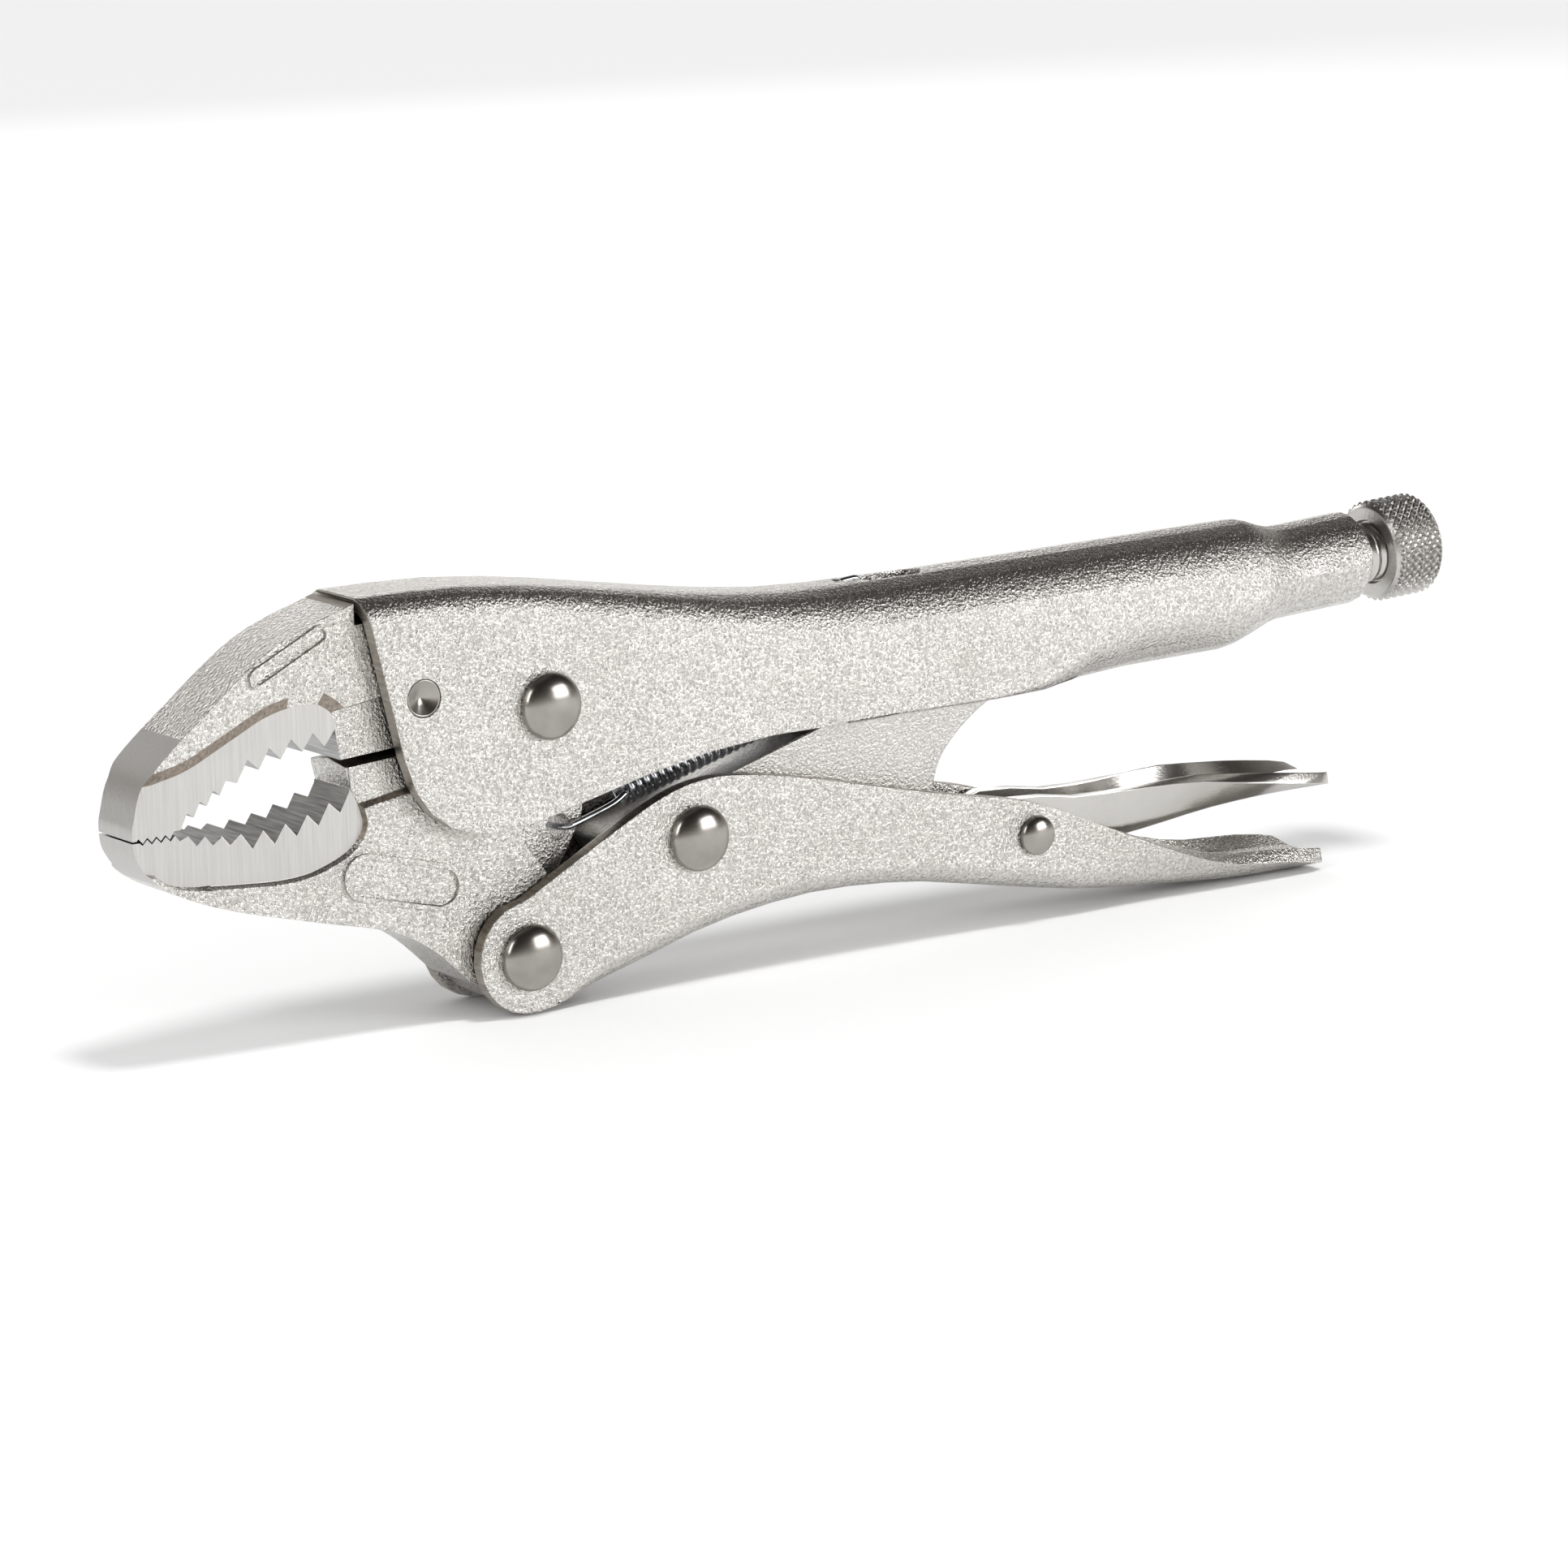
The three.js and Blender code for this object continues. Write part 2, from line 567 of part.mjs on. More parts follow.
// A short pin, struck with a cone in each end to spread it in its hole.
function jawPin() {
  const end = SHELL_WIDTH / 2 - 0.1;
  const profile = [[0, -end + 1.3], [PIN_RADIUS - 0.3, -end], [PIN_RADIUS, -end],
    [PIN_RADIUS, end], [PIN_RADIUS - 0.3, end], [0, end - 1.3]];
  const points = profile.map(([r, y]) => new THREE.Vector2(r, y));
  const manifold = solid(new THREE.LatheGeometry(points, 16));
  return meshOf('jaw_pin', manifold.translate([JAW_PIN.x, 0, JAW_PIN.y]), SATIN_NICKEL, 0.35);
}

// ---------------------------------------------------------------- adjusting screw

// Distances along the screw from SCREW_START; the group is tilted afterwards.
const SHANK_TIP = -51.4;
const THREAD_START = -26;
const SHANK_END = 14;
const KNOB_START = 13;
const KNOB_LENGTH = 10;

function ring(x, radiusAt, count) {
  return steps(0, 2 * Math.PI, count).slice(0, -1).map((angle) => {
    const radius = radiusAt(angle);
    return new THREE.Vector3(x, radius * Math.cos(angle), radius * Math.sin(angle));
  });
}

function screwShank() {
  const count = 12;
  const core = SCREW_RADIUS - 0.5;
  const thread = (x) => (angle) => core + 0.45 * Math.cos(2 * Math.PI * x / SCREW_PITCH - angle);
  const pilot = [[SHANK_TIP, core - 1.4], [SHANK_TIP + 1.4, core], [THREAD_START - 1, core]];
  const turns = Math.floor((SHANK_END - THREAD_START) / SCREW_PITCH);
  const stations = steps(THREAD_START, THREAD_START + turns * SCREW_PITCH, turns * 3);
  const rings = [
    ...pilot.map(([x, radius]) => ring(x, () => radius, count)),
    ...stations.map((x) => ring(x, thread(x), count)),
  ];
  return solid(new LoftGeometry(rings, { capStart: true, capEnd: true }));
}

function knob() {
  const teeth = 20;
  const chamfer = 1;
  const wave = (phase) => Math.abs((phase / Math.PI) % 1 * 2 - 1);
  const knurl = (x) => (angle) => {
    const lean = 0.55 * x;
    const depth = Math.min(wave(teeth / 2 * angle + lean + 40), wave(teeth / 2 * angle - lean + 40));
    return KNOB_RADIUS - 0.45 + 0.45 * depth;
  };
  const faces = KNOB_RADIUS - chamfer;
  const rings = [
    ring(0, () => faces, teeth * 4),
    ...steps(chamfer, KNOB_LENGTH - chamfer, 4).map((x) => ring(x, knurl(x), teeth * 4)),
    ring(KNOB_LENGTH, () => faces, teeth * 4),
  ];
  const body = solid(new LoftGeometry(rings, { capStart: true, capEnd: true }));
  const bore = new THREE.CylinderGeometry(SCREW_RADIUS + 0.05, SCREW_RADIUS + 0.05, 8, 24);
  bore.rotateZ(Math.PI / 2);
  return body.subtract(solid(bore)).translate([KNOB_START, 0, 0]);
}

function screwGroup() {
  const group = new THREE.Group();
  group.position.set(SCREW_START.x, 0, SCREW_START.y);
  group.rotation.y = -SCREW_TILT;
  group.add(meshOf('adjusting_screw', screwShank(), SATIN_NICKEL, 0.4));
  group.add(meshOf('screw_knob', knob(), SATIN_NICKEL, 0.4));
  return group;
}

// ---------------------------------------------------------------- spring

const WIRE_RADIUS = 0.52;
const COIL_RADIUS = 2.15;
const COIL_TURNS = 16;
const COIL_START = new THREE.Vector3(17.5, 0, -16.9);
const COIL_DIRECTION = new THREE.Vector3(Math.cos(0.274), 0, Math.sin(0.274));
const COIL_LENGTH = 33;

class SpringPath extends THREE.Curve {
  constructor() {
    super();
    const across = new THREE.Vector3(0, -1, 0);
    const up = new THREE.Vector3().crossVectors(COIL_DIRECTION, across);
    const coil = steps(0, COIL_TURNS, COIL_TURNS * 6).map((turn) => {
      const angle = 2 * Math.PI * turn;
      return COIL_START.clone()
        .addScaledVector(COIL_DIRECTION, COIL_LENGTH * turn / COIL_TURNS)
        .addScaledVector(across, COIL_RADIUS * Math.cos(angle))
        .addScaledVector(up, COIL_RADIUS * Math.sin(angle));
    });
    const front = [[4.2, 4.4, -20.2], [4.2, 1, -20.2], [4.2, -2.6, -20.2], [5.2, -4.6, -20],
      [7.6, -4.5, -19.6], [14.5, -2.9, -18.2]];
    const back = [[54, -1.2, -4.6], [60.5, 0, 5], [63.4, 0, 9], [63.2, 0, 10.9], [61.6, 0, 11],
      [59.9, 0, 10.8]];
    const toVector = ([x, y, z]) => new THREE.Vector3(x, y, z);
    this.path = new THREE.CatmullRomCurve3([...front.map(toVector), ...coil, ...back.map(toVector)]);
  }

  getPoint(t, target = new THREE.Vector3()) {
    return this.path.getPoint(t, target);
  }
}

function spring() {
  const section = new THREE.Shape();
  section.absarc(0, 0, WIRE_RADIUS, 0, 2 * Math.PI);
  const geometry = new THREE.ExtrudeGeometry(section, {
    extrudePath: new SpringPath(), steps: COIL_TURNS * 7, curveSegments: 3,
  });
  return meshOf('spring', solid(geometry), SPRING_STEEL, 0.3);
}

// ---------------------------------------------------------------- assembly

function pliers() {
  const group = new THREE.Group();
  group.add(meshOf('handle_shell', handleShell(), SATIN_NICKEL, 0.35));
  group.add(meshOf('upper_jaw', upperJaw(), GROUND_STEEL, 0.35));
  group.add(jawPin());
  group.add(rivet('jaw_rivet', MAIN_PIVOT, BIG_RIVET));
  group.add(meshOf('lower_jaw', lowerJaw(), GROUND_STEEL, 0.35));
  group.add(rivet('lever_rivet', LEVER_PIVOT, BIG_RIVET));
  group.add(meshOf('lever', lever(), SATIN_NICKEL, 0.35));
  group.add(rivet('link_rivet', LINK_PIVOT, BIG_RIVET));
  group.add(meshOf('toggle_link', toggleLink(), SATIN_NICKEL, 0.45));
  group.add(rivet('release_rivet', RELEASE_PIVOT, SMALL_RIVET));
  group.add(meshOf('release_lever', releaseLever(), POLISHED_NICKEL, 0.25));
  group.add(spring());
  group.add(screwGroup());
  return group;
}

// Stand the tool on its lever, centred over the origin.
const assembly = pliers();
assembly.updateMatrixWorld(true);
const bounds = new THREE.Box3().setFromObject(assembly, true);
assembly.position.set(-(bounds.min.x + bounds.max.x) / 2, 0, -bounds.min.z);

export default assembly;
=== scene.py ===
"""Curved-jaw locking pliers: visual model over the CAD frame, in metres."""
import json
import math

import bmesh
import bpy
from mathutils import Matrix, Vector


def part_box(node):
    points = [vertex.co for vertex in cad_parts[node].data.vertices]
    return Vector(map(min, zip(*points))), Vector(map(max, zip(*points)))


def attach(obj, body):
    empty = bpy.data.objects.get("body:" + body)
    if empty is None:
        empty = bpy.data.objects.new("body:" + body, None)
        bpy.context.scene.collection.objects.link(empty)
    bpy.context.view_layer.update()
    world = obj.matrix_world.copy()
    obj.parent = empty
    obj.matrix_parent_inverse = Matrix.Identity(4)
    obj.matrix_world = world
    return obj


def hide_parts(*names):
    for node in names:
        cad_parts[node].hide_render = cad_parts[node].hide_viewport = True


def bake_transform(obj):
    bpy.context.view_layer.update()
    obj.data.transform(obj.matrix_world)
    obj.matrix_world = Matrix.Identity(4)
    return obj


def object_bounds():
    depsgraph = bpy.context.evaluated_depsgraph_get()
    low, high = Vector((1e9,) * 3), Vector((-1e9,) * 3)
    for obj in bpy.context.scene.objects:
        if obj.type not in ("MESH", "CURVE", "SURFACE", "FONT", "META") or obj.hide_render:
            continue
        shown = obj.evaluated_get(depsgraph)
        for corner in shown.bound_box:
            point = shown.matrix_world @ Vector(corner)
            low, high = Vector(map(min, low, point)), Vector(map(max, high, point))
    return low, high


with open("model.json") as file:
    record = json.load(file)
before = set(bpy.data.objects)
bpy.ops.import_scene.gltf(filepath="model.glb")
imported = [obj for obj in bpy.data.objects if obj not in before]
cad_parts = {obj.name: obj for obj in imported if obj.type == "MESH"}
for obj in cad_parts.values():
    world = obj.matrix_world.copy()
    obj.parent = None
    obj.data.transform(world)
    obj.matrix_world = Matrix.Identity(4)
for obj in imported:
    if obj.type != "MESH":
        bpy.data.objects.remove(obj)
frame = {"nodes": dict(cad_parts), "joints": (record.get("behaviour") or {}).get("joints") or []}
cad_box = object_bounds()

MM = 0.001
X, Y, Z = Vector((1, 0, 0)), Vector((0, 1, 0)), Vector((0, 0, 1))
PIVOT = {joint["name"]: joint.get("pos_m") for joint in frame["joints"]}
MAIN = Vector(PIVOT["jaw_open"])


def at(x, z, y=0.0):
    """A point given in millimetres from the main pivot."""
    return MAIN + Vector((x, y, z)) * MM


# ---------------------------------------------------------------- camera, floor and light

VIEW_AZIMUTH = math.radians(34.3)
VIEW_ELEVATION = math.radians(11.7)
VIEW_ROLL = math.radians(1.3)
VIEW_DISTANCE = 1.019
VIEW_CENTRE = at(48.5, -20.06)
LENS = 149.1
SENSOR = 36
CLIP = (0.05, 50)
LIT_POINT = Vector((0, 0, 0.03))


def make_camera():
    data = bpy.data.cameras.new("camera")
    data.lens = LENS
    data.sensor_width = SENSOR
    data.clip_start, data.clip_end = CLIP
    camera = bpy.data.objects.new("camera", data)
    bpy.context.scene.collection.objects.link(camera)
    flat = Vector((math.sin(VIEW_AZIMUTH), math.cos(VIEW_AZIMUTH), 0))
    forward = flat * math.cos(VIEW_ELEVATION) - Z * math.sin(VIEW_ELEVATION)
    right = forward.cross(Z).normalized()
    up = right.cross(forward)
    right, up = (right * math.cos(VIEW_ROLL) - up * math.sin(VIEW_ROLL),
                 right * math.sin(VIEW_ROLL) + up * math.cos(VIEW_ROLL))
    place = Matrix((right, up, -forward)).transposed().to_4x4()
    place.translation = VIEW_CENTRE - forward * VIEW_DISTANCE
    camera.matrix_world = place
    bpy.context.scene.camera = camera


def new_object(name, data):
    obj = bpy.data.objects.new(name, data)
    bpy.context.scene.collection.objects.link(obj)
    return obj


FLOOR_HALF_WIDTH = 9
FLOOR_DROP = 0.0002  # keeps the floor just clear of the tool's lowest faces
FLOOR_WHITE = 0.86


def make_floor():
    bm = bmesh.new()
    bmesh.ops.create_grid(bm, x_segments=8, y_segments=8, size=FLOOR_HALF_WIDTH)
    mesh = bpy.data.meshes.new("floor")
    bm.to_mesh(mesh)
    bm.free()
    floor = new_object("floor", mesh)
    floor.location.z = cad_box[0].z - FLOOR_DROP
    material = bpy.data.materials.new("floor")
    material.use_nodes = True
    shader = material.node_tree.nodes["Principled BSDF"]
    shader.inputs["Base Color"].default_value = (FLOOR_WHITE, FLOOR_WHITE, FLOOR_WHITE, 1)
    shader.inputs["Roughness"].default_value = 0.9
    shader.inputs["Specular IOR Level"].default_value = 0.1
    mesh.materials.append(material)


def area_light(name, azimuth, elevation, distance, size, power):
    """A rectangular light aimed at the tool; azimuth 0 is the -Y side and 90 the knob's, in degrees."""
    data = bpy.data.lights.new(name, "AREA")
    data.shape = "RECTANGLE"
    data.size, data.size_y = size
    data.energy = power
    light = new_object(name, data)
    turn, lift = math.radians(azimuth), math.radians(elevation)
    away = Vector((math.sin(turn) * math.cos(lift), -math.cos(turn) * math.cos(lift), math.sin(lift)))
    light.location = LIT_POINT + away * distance
    light.rotation_mode = "QUATERNION"
    light.rotation_quaternion = (-away).to_track_quat("-Z", "Y")


# What the metal mirrors, by the height of the direction: 0 is the horizon and 1 straight up.
FRONT_ROOM = [(0.0, (0.60, 0.59, 0.575)), (0.1, (0.42, 0.40, 0.38)), (0.22, (0.16, 0.14, 0.125)),
              (0.45, (0.06, 0.052, 0.047)), (0.85, (0.03, 0.027, 0.025)), (1.0, (0.14, 0.135, 0.13))]
BACK_ROOM = [(0.0, (0.62, 0.61, 0.595)), (0.2, (0.58, 0.57, 0.55)), (0.45, (0.36, 0.34, 0.32)),
             (0.62, (0.07, 0.062, 0.055)), (0.85, (0.03, 0.027, 0.025)), (1.0, (0.14, 0.135, 0.13))]

BACK_BLEND = (-0.1, 0.4)  # the room turns from front to back over this part of the direction's Y
FILL_STRENGTH = 0.62


def fill_ramp(ramp, stops):
    elements = ramp.color_ramp.elements
    while len(elements) < len(stops):
        elements.new(0.5)
    for element, (position, color) in zip(elements, stops):
        element.position = position
        element.color = (*color, 1)


def make_world():
    """Even white light on the floor; the metal sees a dim room with a lighter wall behind."""
    world = bpy.data.worlds.new("studio")
    bpy.context.scene.world = world
    world.use_nodes = True
    tree = world.node_tree
    add = tree.nodes.new
    even = tree.nodes["Background"]
    even.inputs["Color"].default_value = (1, 1, 1, 1)
    even.inputs["Strength"].default_value = FILL_STRENGTH
    room = add("ShaderNodeBackground")
    place = add("ShaderNodeTexCoord")
    split = add("ShaderNodeSeparateXYZ")
    front, back = add("ShaderNodeValToRGB"), add("ShaderNodeValToRGB")
    fill_ramp(front, FRONT_ROOM)
    fill_ramp(back, BACK_ROOM)
    behind = add("ShaderNodeMapRange")
    behind.inputs["From Min"].default_value, behind.inputs["From Max"].default_value = BACK_BLEND
    walls = add("ShaderNodeMixRGB")
    path = add("ShaderNodeLightPath")
    pick = add("ShaderNodeMixShader")
    output = tree.nodes["World Output"]
    links = [(place.outputs["Generated"], split.inputs[0]), (split.outputs["Z"], front.inputs["Fac"]),
             (split.outputs["Z"], back.inputs["Fac"]), (split.outputs["Y"], behind.inputs["Value"]),
             (behind.outputs["Result"], walls.inputs["Fac"]),
             (front.outputs["Color"], walls.inputs["Color1"]),
             (back.outputs["Color"], walls.inputs["Color2"]), (walls.outputs["Color"], room.inputs["Color"]),
             (path.outputs["Is Glossy Ray"], pick.inputs["Fac"]), (even.outputs[0], pick.inputs[1]),
             (room.outputs[0], pick.inputs[2]), (pick.outputs[0], output.inputs["Surface"])]
    for source, target in links:
        tree.links.new(source, target)


SUN_STRENGTH = 1.35
SUN_SOFTNESS = math.radians(13)
SUN_TURN = (math.radians(14), math.radians(5), 0)


def make_sun():
    """The shadow-casting light: high, slightly from the front right, kept out of the reflections."""
    data = bpy.data.lights.new("key", "SUN")
    data.energy = SUN_STRENGTH
    data.angle = SUN_SOFTNESS
    sun = new_object("key", data)
    sun.rotation_euler = SUN_TURN
    sun.visible_glossy = False


def make_lights():
    make_world()
    make_sun()
    area_light("softbox_right", 36, 16, 1.1, (0.55, 0.4), 4.2)
    area_light("softbox_left", -75, 28, 1.1, (0.4, 0.6), 2.6)
    area_light("strip_back", 165, 20, 1.3, (1.4, 0.35), 3.2)


# ---------------------------------------------------------------- material helpers

class Nodes:
    """Short names for building a material's node tree."""

    def __init__(self, name):
        self.material = bpy.data.materials.new(name)
        self.material.use_nodes = True
        self.tree = self.material.node_tree
        self.shader = self.tree.nodes["Principled BSDF"]
        self.place = self.add("ShaderNodeTexCoord").outputs["Object"]

    def add(self, kind, **inputs):
        node = self.tree.nodes.new(kind)
        for key, value in inputs.items():
            node.inputs[key.replace("_", " ")].default_value = value
        return node

    def link(self, source, node, socket):
        self.tree.links.new(source, node.inputs[socket])

    def noise(self, cell, detail=2, rough=0.5, place=None):
        """Grey noise with cells of about that many millimetres."""
        node = self.add("ShaderNodeTexNoise", Scale=1 / (cell * MM), Detail=detail, Roughness=rough)
        self.link(place or self.place, node, "Vector")
        return node.outputs["Fac"]

    def stretched(self, rotation, scale):
        """Object coordinates turned and stretched, for brush lines."""
        node = self.add("ShaderNodeMapping", Rotation=rotation, Scale=scale)
        self.link(self.place, node, "Vector")
        return node.outputs["Vector"]

    def ramp(self, source, stops):
        node = self.add("ShaderNodeValToRGB")
        elements = node.color_ramp.elements
        for element, (position, value) in zip(elements, stops):
            element.position = position
        for index, (position, value) in enumerate(stops):
            if index >= len(elements):
                elements.new(position)
            color = value if isinstance(value, tuple) else (value, value, value)
            elements[index].color = (*color, 1)
        self.link(source, node, "Fac")
        return node.outputs["Color"]

    def value(self, source, low, high):
        """The source from 0 to 1 spread over low to high."""
        node = self.add("ShaderNodeMapRange")
        node.inputs["To Min"].default_value = low
        node.inputs["To Max"].default_value = high
        self.link(source, node, "Value")
        return node.outputs["Result"]

    def bump(self, height, distance, strength=1.0, after=None):
        """Relief of that many millimetres, laid over another relief if after is given."""
        node = self.add("ShaderNodeBump", Strength=strength, Distance=distance * MM)
        self.link(height, node, "Height")
        if after is not None:
            self.link(after, node, "Normal")
        return node.outputs["Normal"]

    def mix(self, factor, a, b):
        node = self.tree.nodes.new("ShaderNodeMix")
        node.data_type = "RGBA"
        for socket, value in ((0, factor), (6, a), (7, b)):
            if isinstance(value, bpy.types.NodeSocket):
                self.tree.links.new(value, node.inputs[socket])
            else:
                node.inputs[socket].default_value = value
        return node.outputs[2]

    def metal(self, color, roughness, normal=None):
        self.shader.inputs["Metallic"].default_value = 1
        self.link(color, self.shader, "Base Color")
        self.link(roughness, self.shader, "Roughness")
        if normal is not None:
            self.link(normal, self.shader, "Normal")
        return self.material


# ---------------------------------------------------------------- materials

def satin_nickel(name, tone=1.0, peel=1.0, rough=0.27):
    """Nickel over blasted steel: an orange-peel surface, warm grey, slightly cloudy, with painted shade in
    the pits of the grain.
    """
    n = Nodes(name)
    cloud = n.noise(14, 3, 0.6)
    grain = n.noise(0.48, 2, 0.6)
    fine = n.noise(0.2, 1)
    light = (0.80 * tone, 0.785 * tone, 0.755 * tone)
    dark = (0.70 * tone, 0.682 * tone, 0.65 * tone)
    # Painted shade: the low pits of the grain relief are mixed towards this darker colour, more strongly
    # with a larger peel.
    pit_shade = (0.44 * tone, 0.425 * tone, 0.4 * tone, 1)
    pit_shade_mask = n.ramp(grain, [(0.34, min(peel, 1.0)), (0.66, 0.0)])
    color = n.mix(pit_shade_mask, n.ramp(cloud, [(0.3, dark), (0.7, light)]), pit_shade)
    roughness = n.value(grain, rough + 0.05, rough - 0.07)
    normal = n.bump(fine, 0.03 * peel, 1.0, n.bump(grain, 0.3 * peel))
    return n.metal(color, roughness, normal)


def polished_nickel(name):
    """Smooth domes with a few turning marks."""
    n = Nodes(name)
    cloud = n.noise(3, 3)
    scratch = n.noise(0.9, 2, place=n.stretched((0, 0.6, 0), (1, 1, 9)))
    color = n.ramp(cloud, [(0.3, (0.33, 0.315, 0.29)), (0.7, (0.40, 0.38, 0.35))])
    roughness = n.value(scratch, 0.16, 0.27)
    return n.metal(color, roughness, n.bump(cloud, 0.02, 0.4))


def ground_steel(name, angle, tone=1.0):
    """Bright steel with fine grinding lines, at that angle in the side plane."""
    n = Nodes(name)
    lines = n.noise(0.26, 3, 0.7, n.stretched((0, angle, 0), (1, 1, 0.02)))
    patch = n.noise(5, 2)
    low = (0.46 * tone, 0.45 * tone, 0.435 * tone)
    high = (0.66 * tone, 0.65 * tone, 0.63 * tone)
    plain = (0.58 * tone, 0.57 * tone, 0.55 * tone, 1)
    color = n.mix(n.value(patch, 0.3, 0.65), n.ramp(lines, [(0.3, low), (0.7, high)]), plain)
    return n.metal(color, n.value(lines, 0.32, 0.44), n.bump(lines, 0.01))


def sheared_edge(name, low, high):
    """Edge of cut or machined steel: brownish, with marks across its thickness."""
    n = Nodes(name)
    marks = n.noise(0.5, 3, 0.6, n.stretched((0, 0, 0), (1, 0.15, 1)))
    color = n.ramp(marks, [(0.3, low), (0.75, high)])
    return n.metal(color, n.value(marks, 0.3, 0.5), n.bump(marks, 0.03))


def machined_teeth(name):
    """Darker milled steel with cutter lines along each tooth."""
    n = Nodes(name)
    lines = n.noise(0.3, 3, 0.6, n.stretched((0, 0, 0), (1, 0.04, 1)))
    color = n.ramp(lines, [(0.3, (0.22, 0.22, 0.22)), (0.7, (0.5, 0.5, 0.49))])
    return n.metal(color, n.value(lines, 0.25, 0.42), n.bump(lines, 0.02))


def spring_steel(name):
    """Bright, cool grey wire."""
    n = Nodes(name)
    streak = n.noise(1.2, 2)
    color = n.ramp(streak, [(0.3, (0.48, 0.50, 0.53)), (0.7, (0.70, 0.72, 0.75))])
    return n.metal(color, n.value(streak, 0.14, 0.26))


PEEL = satin_nickel("satin_nickel")
LINK = satin_nickel("forged_link_nickel", tone=0.84, peel=0.7, rough=0.36)
SMOOTH = satin_nickel("smooth_nickel", tone=0.78, peel=0.07, rough=0.24)
SHINY = polished_nickel("polished_nickel")
GROUND = ground_steel("ground_steel", math.radians(-15))
BELTED = ground_steel("belted_steel", math.radians(60), tone=0.9)
EDGE = sheared_edge("sheared_edge", (0.34, 0.31, 0.27), (0.6, 0.57, 0.52))
RIM = sheared_edge("lever_rim", (0.2, 0.17, 0.135), (0.42, 0.375, 0.315))
BROWN = sheared_edge("machined_step", (0.17, 0.145, 0.12), (0.36, 0.31, 0.265))
TEETH = machined_teeth("machined_teeth")
WIRE = spring_steel("spring_steel")
KNURL = satin_nickel("knurled_nickel", tone=0.74, peel=0.12, rough=0.3)

# ---------------------------------------------------------------- pieces shaped from the CAD solids

JOIN = 0.01 * MM
FLAT = math.radians(0.8)
SHARP = math.radians(32)
EDGE_PROFILE = 0.6


def solid_mesh(node):
    """The node's solid with its flat polygons joined, ready for edge rounding."""
    bm = bmesh.new()
    bm.from_mesh(frame["nodes"][node].data)
    bmesh.ops.remove_doubles(bm, verts=bm.verts, dist=JOIN)
    bmesh.ops.dissolve_limit(bm, angle_limit=FLAT, verts=bm.verts, edges=bm.edges)
    bm.normal_update()
    return bm


def anywhere(_edge):
    return True


def round_edges(bm, width, segments=2, where=anywhere):
    """Round the sharp edges for which where() holds; width in millimetres."""
    edges = [e for e in bm.edges if e.is_manifold and e.calc_face_angle() > SHARP and where(e)]
    bmesh.ops.bevel(bm, geom=edges, offset=width * MM, offset_type="OFFSET", segments=segments,
                    profile=EDGE_PROFILE, affect="EDGES", clamp_overlap=False, loop_slide=False)


def middle_of(edge):
    """The edge's middle in millimetres from the main pivot."""
    return ((edge.verts[0].co + edge.verts[1].co) / 2 - MAIN) / MM


def finish_piece(node, bm, body, materials, choose):
    """The edited solid becomes the piece that stands for the node; choose gives each face its material."""
    bm.normal_update()
    for edge in bm.edges:
        edge.smooth = not edge.is_manifold or edge.calc_face_angle() < SHARP
    for face in bm.faces:
        face.smooth = True
        normal = face.normal
        middle = (face.calc_center_median() - MAIN) / MM
        face.material_index = materials.index(choose(middle, normal))
    mesh = bpy.data.meshes.new(node + "_piece")
    bm.to_mesh(mesh)
    bm.free()
    for material in materials:
        mesh.materials.append(material)
    piece = new_object(node + "_piece", mesh)
    weighted = piece.modifiers.new("normals", "WEIGHTED_NORMAL")
    weighted.keep_sharp = True
    weighted.weight = 80
    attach(piece, body)
    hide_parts(node)


# Limits that tell the faces apart, in millimetres from the main pivot.
SHEET_INSIDE = 6.45
GROUND_Y = (4.9, 5.35)
FORGED_Y = 5.95
RING_Y = 6.02
SLOT_END = 101
LEVER_RIM_END = 100
SHEET_FRONT = -20
NOSE_BELT = -62
TOO_THIN = -57
UPPER_GROUND_END, UPPER_TEETH_END, UPPER_RECESS_TOP = -34, -34.5, 5.5
LOWER_GROUND_END, LOWER_TEETH_END = -31, -33.5
LOWER_RECESS_X, LOWER_RECESS_Z = (-32, -15), (-24, -3.5)
THROAT_X, THROAT_Z = (-33.5, -16), (-8, -3)


def within(value, limits):
    return limits[0] < value < limits[1]


def sheet_faces(middle, normal):
    across = abs(normal.y)
    if across < 0.25 and abs(middle.y) > SHEET_INSIDE and normal.z < -0.2 and middle.x < SLOT_END:
        return EDGE
    if normal.x < -0.8 and middle.x < SHEET_FRONT:
        return EDGE
    return PEEL


def handle():
    bm = solid_mesh("handle_shell")
    round_edges(bm, 0.35)
    finish_piece("handle_shell", bm, "handle", [PEEL, EDGE], sheet_faces)


def upper_faces(middle, normal):
    across = abs(normal.y)
    if middle.x < UPPER_GROUND_END and within(abs(middle.y), GROUND_Y) and across > 0.9:
        return GROUND
    if across < 0.3 and normal.z < -0.05 and middle.x < UPPER_TEETH_END:
        return TEETH
    recess_wall = across < 0.93 and within(abs(middle.y), (GROUND_Y[1], FORGED_Y))
    if recess_wall and middle.z < UPPER_RECESS_TOP and middle.x < UPPER_GROUND_END:
        return BROWN
    if across < 0.9 and middle.x < NOSE_BELT:
        return BELTED
    if across < 0.6 and abs(middle.y) > RING_Y:
        return EDGE
    if across < 0.3 and middle.x > UPPER_TEETH_END:
        return BROWN
    return PEEL


def behind_nose(edge):
    """Ahead of this the ground faces run out to the outline, too thin to round."""
    return middle_of(edge).x > TOO_THIN


def upper_jaw():
    bm = solid_mesh("upper_jaw")
    round_edges(bm, 0.12, 2, behind_nose)
    finish_piece("upper_jaw", bm, "handle", [PEEL, GROUND, TEETH, BROWN, BELTED, EDGE], upper_faces)


